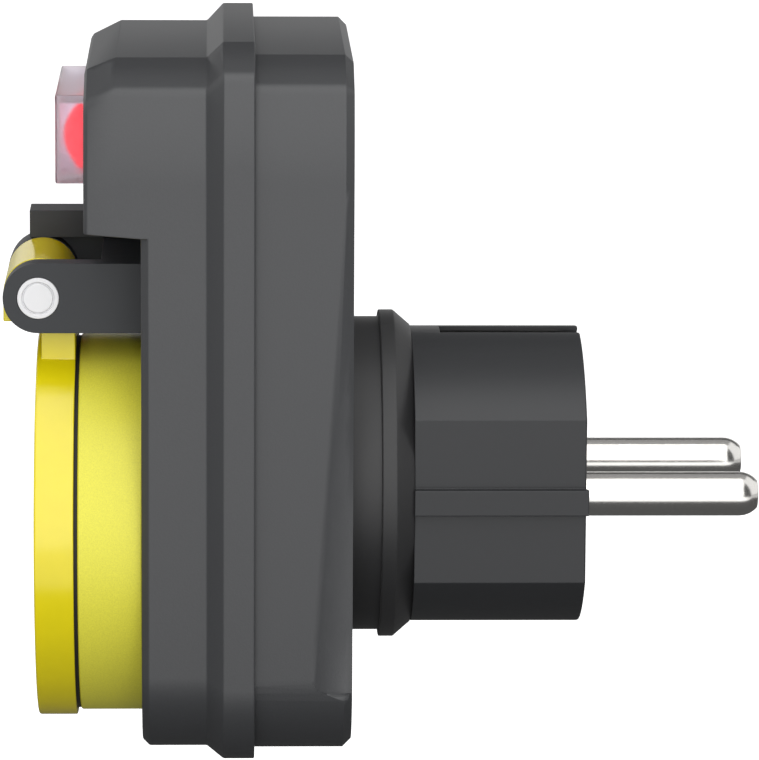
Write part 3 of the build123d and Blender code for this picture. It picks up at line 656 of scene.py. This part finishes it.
def floor_paper():
    """Pale seamless paper, which keeps the adapter's shadow. It throws little light back up."""
    material, tree = new_material("floor_paper")
    dark = add(tree, "ShaderNodeBsdfDiffuse", inputs={"Color": grey(PAPER_BOUNCE)})
    pale = add(tree, "ShaderNodeBsdfDiffuse", inputs={"Color": grey(PAPER_SEEN)})
    paper = add(
        tree,
        "ShaderNodeMixShader",
        links={
            "Fac": any_of(tree, "Is Camera Ray", "Is Glossy Ray", "Is Transmission Ray"),
            1: dark.outputs["BSDF"],
            2: pale.outputs["BSDF"],
        },
    )
    none = add(tree, "ShaderNodeEmission", inputs={"Strength": 0.0})
    white = add(tree, "ShaderNodeEmission", inputs={"Strength": PAPER_LIFT})
    lift = add(
        tree,
        "ShaderNodeMixShader",
        links={
            "Fac": any_of(tree, "Is Camera Ray", "Is Transmission Ray"),
            1: none.outputs["Emission"],
            2: white.outputs["Emission"],
        },
    )
    both = add(
        tree, "ShaderNodeAddShader", links={0: paper.outputs["Shader"], 1: lift.outputs["Shader"]}
    )
    add(tree, "ShaderNodeOutputMaterial", links={"Surface": both.outputs["Shader"]})
    return material


def lay_floor(height):
    """Lays the floor's paper at a height."""
    bm = bmesh.new()
    bmesh.ops.create_grid(bm, x_segments=1, y_segments=1, size=FLOOR_HALF_WIDTH)
    bmesh.ops.translate(bm, verts=bm.verts, vec=(0, 0, height))
    floor = mesh_object("floor", bm)
    floor.data.materials.append(floor_paper())


def hang_cloths(settings, height):
    """Hangs the lights and the dark cloths round the adapter, over a floor at a height."""
    # A tall strip of light and its twin on the floor draw the bright bands on the hinge side.
    drop = height - CAMERA_TARGET.z + MM
    arched_cloth(
        "strip_light", radius=0.75, half_width=0.21, low=-8, high=92, level=settings.strip_level
    )
    flat_cloth("low_light", (0.36, 0, drop), (0.48, 0.42), settings.low_level)
    # Dark cloths overhead, below and at both sides give the dark faces their depth.
    arched_cloth(
        "shoulder_glow",
        radius=0.75,
        half_width=0.4,
        low=93,
        high=132,
        level=settings.shoulder_level,
        lights=False,
    )
    arched_cloth(
        "back_flag",
        radius=0.75,
        half_width=0.75,
        low=133,
        high=163,
        level=settings.flag_level,
        lights=False,
    )
    arched_cloth(
        "horizon_glow",
        radius=0.74,
        half_width=0.75,
        low=164,
        high=178,
        level=settings.horizon_level,
        lights=False,
    )
    dim = settings.flag_level
    flat_cloth("low_flag", (-0.17, 0, drop), (0.58, 0.6), dim, lights=False)
    for side, name in ((-1, "lid_side_flag"), (1, "pin_side_flag")):
        flat_cloth(name, (0.57, side * 0.4, 0.35), (0.66, 0.84), dim, tilt=90, lights=False)


def fill_world(scene, level):
    """Fills the world with the room's light and shows it as white."""
    world = bpy.data.worlds.new("studio")
    scene.world = world
    world.use_nodes = True
    tree = world.node_tree
    tree.nodes.clear()
    room = add(tree, "ShaderNodeBackground", inputs={"Color": grey(level)})
    white = add(tree, "ShaderNodeBackground", inputs={"Color": grey(1)})
    mix = add(
        tree,
        "ShaderNodeMixShader",
        links={
            "Fac": any_of(tree, "Is Camera Ray", "Is Glossy Ray", "Is Transmission Ray"),
            1: room.outputs["Background"],
            2: white.outputs["Background"],
        },
    )
    add(tree, "ShaderNodeOutputWorld", links={"Surface": mix.outputs["Shader"]})


def place_camera(scene):
    """Places the camera at the photograph's viewing angle."""
    back = Vector((cos(CAMERA_ELEVATION), 0, sin(CAMERA_ELEVATION)))
    up = Vector((-sin(CAMERA_ELEVATION), 0, cos(CAMERA_ELEVATION)))
    right = up.cross(back)
    pan = Matrix.Rotation(-CAMERA_PAN, 3, up)
    camera = bpy.data.cameras.new("camera")
    camera.lens = CAMERA_LENS
    camera.clip_end = CAMERA_REACH
    obj = bpy.data.objects.new("camera", camera)
    scene.collection.objects.link(obj)
    turned = Matrix((pan @ right, up, pan @ back)).transposed()
    obj.matrix_world = Matrix.Translation(CAMERA_TARGET + back * CAMERA_DISTANCE) @ turned.to_4x4()
    scene.camera = obj


class ADAPTER_OT_stage(bpy.types.Operator):
    """Makes the floor, the lights, the background and the camera"""

    bl_idname = "adapter.stage"
    bl_label = "Stage"

    def execute(self, context):
        scene = context.scene
        settings = scene.adapter_stage
        height = cad_box[0].z - settings.floor_gap
        lay_floor(height)
        hang_cloths(settings, height)
        fill_world(scene, settings.room_level)
        place_camera(scene)
        scene.view_settings.view_transform = "Standard"
        return {"FINISHED"}


OPERATORS = (
    ADAPTER_OT_casing,
    ADAPTER_OT_plug,
    ADAPTER_OT_socket,
    ADAPTER_OT_lid,
    ADAPTER_OT_switch,
    ADAPTER_OT_contacts,
    ADAPTER_OT_stage,
)


class ADAPTER_PT_panel(bpy.types.Panel):
    """Lists the adapter's colours, sizes, lights and steps"""

    bl_idname = "ADAPTER_PT_panel"
    bl_label = "Switched plug adapter"
    bl_space_type = "VIEW_3D"
    bl_region_type = "UI"
    bl_category = "Adapter"

    def draw(self, context):
        layout = self.layout
        scene = context.scene
        for group in (scene.adapter_colours, scene.adapter_sizes, scene.adapter_stage):
            for name in group.__annotations__:
                layout.prop(group, name)
        for operator in OPERATORS:
            layout.operator(operator.bl_idname)


CLASSES = (AdapterColours, AdapterSizes, AdapterStage, *OPERATORS, ADAPTER_PT_panel)


def register():
    for cls in CLASSES:
        bpy.utils.register_class(cls)
    bpy.types.Scene.adapter_colours = bpy.props.PointerProperty(type=AdapterColours)
    bpy.types.Scene.adapter_sizes = bpy.props.PointerProperty(type=AdapterSizes)
    bpy.types.Scene.adapter_stage = bpy.props.PointerProperty(type=AdapterStage)


def unregister():
    del bpy.types.Scene.adapter_stage
    del bpy.types.Scene.adapter_sizes
    del bpy.types.Scene.adapter_colours
    for cls in reversed(CLASSES):
        bpy.utils.unregister_class(cls)


def main():
    register()
    bpy.ops.adapter.casing()
    bpy.ops.adapter.plug()
    bpy.ops.adapter.socket()
    bpy.ops.adapter.lid()
    bpy.ops.adapter.switch()
    bpy.ops.adapter.contacts()
    bpy.ops.adapter.stage()


if __name__ == "__main__":
    main()
